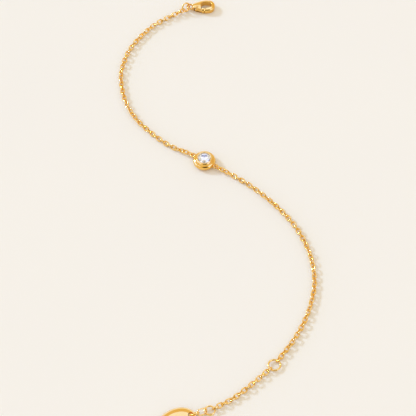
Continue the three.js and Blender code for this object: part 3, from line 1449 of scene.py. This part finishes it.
    def bored(self, shape: BMesh) -> BMesh:
        """Cuts the pin's bore through a shape."""
        drill = rod(self.pin_radius + self.pin_gap, -self.drill_reach, self.drill_reach)
        return worked(shape, self.at_pivot(drill), Cut.REMOVE)

    def blade(self) -> BMesh:
        """Makes the lever's thin part, from its thumb tab past its boss to the gate.

        Returns:
            The blade.
        """
        shape = bmesh.new()
        rows = [
            [shape.verts.new((x, y, -self.blade_thickness / 2)) for x, y in line]
            for line in (self.blade_inner, self.blade_outer)
        ]
        for inner, outer in zip(zip(rows[0], rows[0][1:]), zip(rows[1], rows[1][1:])):
            shape.faces.new((*inner, *reversed(outer)))
        raised(shape, shape.faces[:], (0, 0, self.blade_thickness))
        bmesh.ops.recalc_face_normals(shape, faces=shape.faces)
        return smoothed(rounded(shape, self.blade_rounding, segments=2, degrees=40), 2)

    def gate(self) -> BMesh:
        """Makes the lever's thick end, which closes the hook with a slanted tip.

        Returns:
            The gate.
        """
        half = self.gate_thickness / 2
        shape = block(
            Vector((self.gate_start, self.gate_outer, -half)),
            Vector((self.gate_tip, self.gate_inner, half)),
        )
        for vert in shape.verts:
            if vert.co.x > self.gate_start + NEAR:
                vert.co.x += self.tip_slope * (vert.co.y - self.gate_inner)
        weights = shape.edges.layers.float.new(WEIGHT_LAYER)
        for edge in shape.edges:
            ends = [v.co for v in edge.verts]
            outer = all(p.y < self.gate_inner - NEAR for p in ends)
            upper = all(p.z > 0 for p in ends)
            lengthwise = abs(ends[0].y - ends[1].y) < NEAR
            full = outer and upper and lengthwise
            edge[weights] = 1.0 if full else self.inner_rounding / self.top_rounding
        return self.eased(shape)

    def lever(self) -> BMesh:
        """The gate on its blade, with the bore for the pin."""
        return self.bored(worked(self.blade(), self.gate(), Cut.JOIN))

    def build(self, finishes: Finishes) -> list[Piece]:
        """Makes the clasp's pieces.

        Args:
            finishes: The bracelet's materials.

        Returns:
            The body, the lever, the pin and the ring.
        """
        place = self.place()
        half = self.thickness / 2
        pin = self.at_pivot(rod(self.pin_radius, -half, half, self.pin_rounding))
        gold = finishes.cast_gold
        ring = self.ring.standing("clasp_ring", self.ring_turn_deg, self.ring_lean_deg)
        return [
            Piece("clasp_hook", moved(self.body(), place), ("clasp_body",), gold),
            Piece("clasp_gate", moved(self.lever(), place), ("clasp_lever",), gold, Body.LEVER),
            Piece("clasp_rivet", moved(pin, place), ("clasp_pin",), gold),
            Piece("clasp_jump_ring", ring, ("clasp_ring",), finishes.wire_gold, smoothing=1),
        ]


# ---- rings and tag


@dataclass
class TagEnd:
    """The two rings in the chain that lie flat, and the oval tag on its link and jump ring."""

    tag_ring: WireRing = WireRing(length=2.6, width=2.6, wire=0.42, joint_deg=3)
    tag_ring_turn_deg: float = 18.5
    tag_ring_lean_deg: float = -35.0
    link: WireRing = WireRing(length=2.8, width=1.8, wire=0.32, steps=36)
    link_turn_deg: float = 22.8
    link_tilt_deg: float = 9.2
    link_roll_deg: float = 49.4
    long_radius: float = 5.7
    short_radius: float = 4.4
    turn_deg: float = 41.0
    tilt_deg: float = 3.3
    field_height: float = 0.45
    rim_height: float = 0.65
    rim_width: float = 1.1
    rim_slope: float = 0.8
    hole_inset: float = 1.05
    hole_radius: float = 0.65
    outline_steps: int = 96
    edge_rounding: float = 0.12
    rounded_from_deg: float = 9.0

    def slanted_link(self) -> BMesh:
        """The oval link that leads from the tag's ring down to the end ring."""
        place = (
            Matrix.Translation(box_middle("tag_link"))
            @ turned(self.link_turn_deg, "Z")
            @ turned(self.link_tilt_deg, "Y")
            @ turned(self.link_roll_deg, "X")
        )
        return moved(self.link.cage(), place)

    def tag(self) -> BMesh:
        """Makes the oval plate with its raised rim and its hole.

        Returns:
            The plate, in the tag's place.
        """
        shape = bmesh.new()
        bmesh.ops.create_circle(shape, cap_ends=True, segments=self.outline_steps, radius=1)
        bmesh.ops.scale(shape, verts=shape.verts, vec=(self.long_radius, self.short_radius, 1))
        face = raised(shape, shape.faces[:], (0, 0, self.rim_height))
        drop = self.rim_height - self.field_height
        for width, depth in ((self.rim_width - self.rim_slope, 0), (self.rim_slope, -drop)):
            bmesh.ops.inset_region(shape, faces=[face], thickness=width, depth=depth)
        bmesh.ops.recalc_face_normals(shape, faces=shape.faces)
        rounded(shape, self.edge_rounding, segments=3, degrees=self.rounded_from_deg)
        hole = rod(self.hole_radius, low=-1, high=2)
        moved(hole, Matrix.Translation((self.long_radius - self.hole_inset, 0, 0)))
        shape = worked(shape, hole, Cut.REMOVE)
        far_end = box_middle("tag") - heading(self.turn_deg) * self.long_radius
        place = (
            Matrix.Translation((far_end.x, far_end.y, 0))
            @ turned(self.turn_deg, "Z")
            @ turned(-self.tilt_deg, "Y")
            @ Matrix.Translation((self.long_radius, 0, 0))
        )
        return moved(shape, place)

    def build(self, finishes: Finishes) -> list[Piece]:
        """Makes the rings, the link and the tag.

        Args:
            finishes: The bracelet's materials.

        Returns:
            One piece for each.
        """
        gold = finishes.wire_gold
        hanging = self.tag_ring.standing("tag_ring", self.tag_ring_turn_deg, self.tag_ring_lean_deg)
        wires = [(f"{node}_wire", node, ring.lying(node)) for node, ring in FLAT_RINGS.items()]
        wires.append(("tag_jump_ring", "tag_ring", hanging))
        wires.append(("tag_oval_link", "tag_link", self.slanted_link()))
        return [
            *(Piece(name, shape, (node,), gold, smoothing=1) for name, node, shape in wires),
            Piece("tag_plate", self.tag(), ("tag",), finishes.tag_gold, crease_deg=35),
        ]


# ---- studio


@dataclass(frozen=True)
class SkyPatch:
    """A bright or dark patch of the surroundings, seen only as light and as reflection."""

    azimuth_deg: float
    elevation_deg: float
    radius_deg: float
    softness_deg: float
    colour: Colour

    def direction(self) -> Vector:
        """The direction of the patch's middle."""
        return aim(self.azimuth_deg, self.elevation_deg)


@dataclass
class Studio:
    """The pale floor, the soft daylight from the left and the camera."""

    floor_size: float = 8.0
    target: tuple[float, float, float] = (0.965, -14.592, 0.0)
    azimuth_deg: float = -90.0
    elevation_deg: float = 54.0
    distance: float = 487.0
    focal_length: float = 164.4
    sensor_width: float = 36.0
    clip: Pair = (0.01, 50.0)
    sun_azimuth_deg: float = 150.0
    sun_elevation_deg: float = 28.0
    sun_angle_deg: float = 9.0
    sun_strength: float = 1.9
    sun_colour: Colour = (0.47, 0.66, 0.92)
    fill_colour: Colour = (0.9, 0.775, 0.575)
    sky_colour: Colour = (0.86, 0.73, 0.46)
    stone_light: Colour = (0.98, 0.98, 0.97)
    stone_light_share: float = 0.95
    backdrop_colour: Colour = (0.9, 0.88, 0.82)
    patches: tuple[SkyPatch, ...] = (
        SkyPatch(25, 22, 38, 8, (0.8, 0.66, 0.42)),
        SkyPatch(178, 20, 20, 5, (1.15, 1.6, 4.0)),
        SkyPatch(-150, 44, 11, 4, (1.15, 1.5, 3.6)),
        SkyPatch(100, 66, 16, 5, (1.05, 1.3, 2.6)),
        SkyPatch(92, 8, 14, 5, (1.05, 1.35, 2.6)),
        SkyPatch(-24, 46, 19, 4, (1.2, 1.6, 3.8)),
        SkyPatch(64, 66, 7, 3, (1.2, 1.6, 3.8)),
        SkyPatch(-36, 27, 9, 3, (1.25, 1.7, 4.2)),
        SkyPatch(-80, 42, 23, 4, (0.03, 0.015, 0.004)),
    )

    def floor(self) -> None:
        """Lays the floor."""
        shape = bmesh.new()
        bmesh.ops.create_grid(shape, x_segments=1, y_segments=1, size=self.floor_size / 2)
        item = put("floor", as_mesh(shape, "floor"))
        item.data.materials.append(FloorFinish().material())

    def sun(self) -> None:
        """Hangs the soft key light."""
        light = bpy.data.lights.new("key_light", "SUN")
        light.energy = self.sun_strength
        light.color = self.sun_colour
        light.angle = math.radians(self.sun_angle_deg)
        turn_back(put("key_light", light), aim(self.sun_azimuth_deg, self.sun_elevation_deg))

    def sky(self) -> None:
        """Paints the surroundings: a sky with soft patches, and a plain backdrop."""
        world = bpy.data.worlds.new("daylight")
        bpy.context.scene.world = world
        world.use_nodes = True
        tree = world.node_tree
        tree.nodes.clear()
        bench = NodeBench(tree)
        direction = bench.add("ShaderNodeTexCoord", {}).outputs["Generated"]
        colour: object = rgba(self.sky_colour)
        for patch in self.patches:
            facing = bench.add(
                "ShaderNodeVectorMath",
                {0: direction, 1: patch.direction()},
                operation="DOT_PRODUCT",
            ).outputs["Value"]
            outer = math.cos(math.radians(patch.radius_deg + patch.softness_deg))
            inner = math.cos(math.radians(max(patch.radius_deg - patch.softness_deg, 0)))
            share = bench.between(facing, outer, inner, 0.0, 1.0)
            colour = bench.mix(share, colour, rgba(patch.colour))
        ray = bench.add("ShaderNodeLightPath", {}).outputs
        paler = bench.mix(self.stone_light_share, colour, rgba(self.stone_light))
        through = bench.mix(ray["Is Transmission Ray"], colour, paler)
        even = bench.mix(ray["Is Diffuse Ray"], through, rgba(self.fill_colour))
        shown = bench.mix(ray["Is Camera Ray"], even, rgba(self.backdrop_colour))
        light = bench.add("ShaderNodeBackground", {"Color": shown, "Strength": 1.0})
        bench.add("ShaderNodeOutputWorld", {"Surface": light.outputs[0]})

    def camera(self) -> None:
        """Sets up the camera, looking down along +Y."""
        lens = bpy.data.cameras.new("camera")
        lens.lens = self.focal_length
        lens.sensor_width = self.sensor_width
        lens.clip_start, lens.clip_end = self.clip
        item = put("camera", lens)
        back = aim(self.azimuth_deg, self.elevation_deg)
        item.location = (Vector(self.target) + back * self.distance) * MM
        turn_back(item, back)
        bpy.context.scene.camera = item

    def build(self) -> None:
        """Sets up the whole studio."""
        self.camera()
        self.floor()
        self.sun()
        self.sky()
        bpy.context.scene.view_settings.view_transform = "Standard"


# ---- the bracelet


def main() -> None:
    """Builds the studio and the bracelet."""
    logging.basicConfig(level=logging.INFO, format="%(message)s")
    Studio().build()
    finishes = Finishes.mixed()
    for part in (Chains(), BezelSetting(), BrilliantDiamond(), LobsterClasp(), TagEnd()):
        for piece in part.build(finishes):
            item = piece.make()
            LOG.info("%s: %d faces in %s", item.name, len(item.data.polygons), type(part).__name__)


if __name__ == "__main__":
    main()
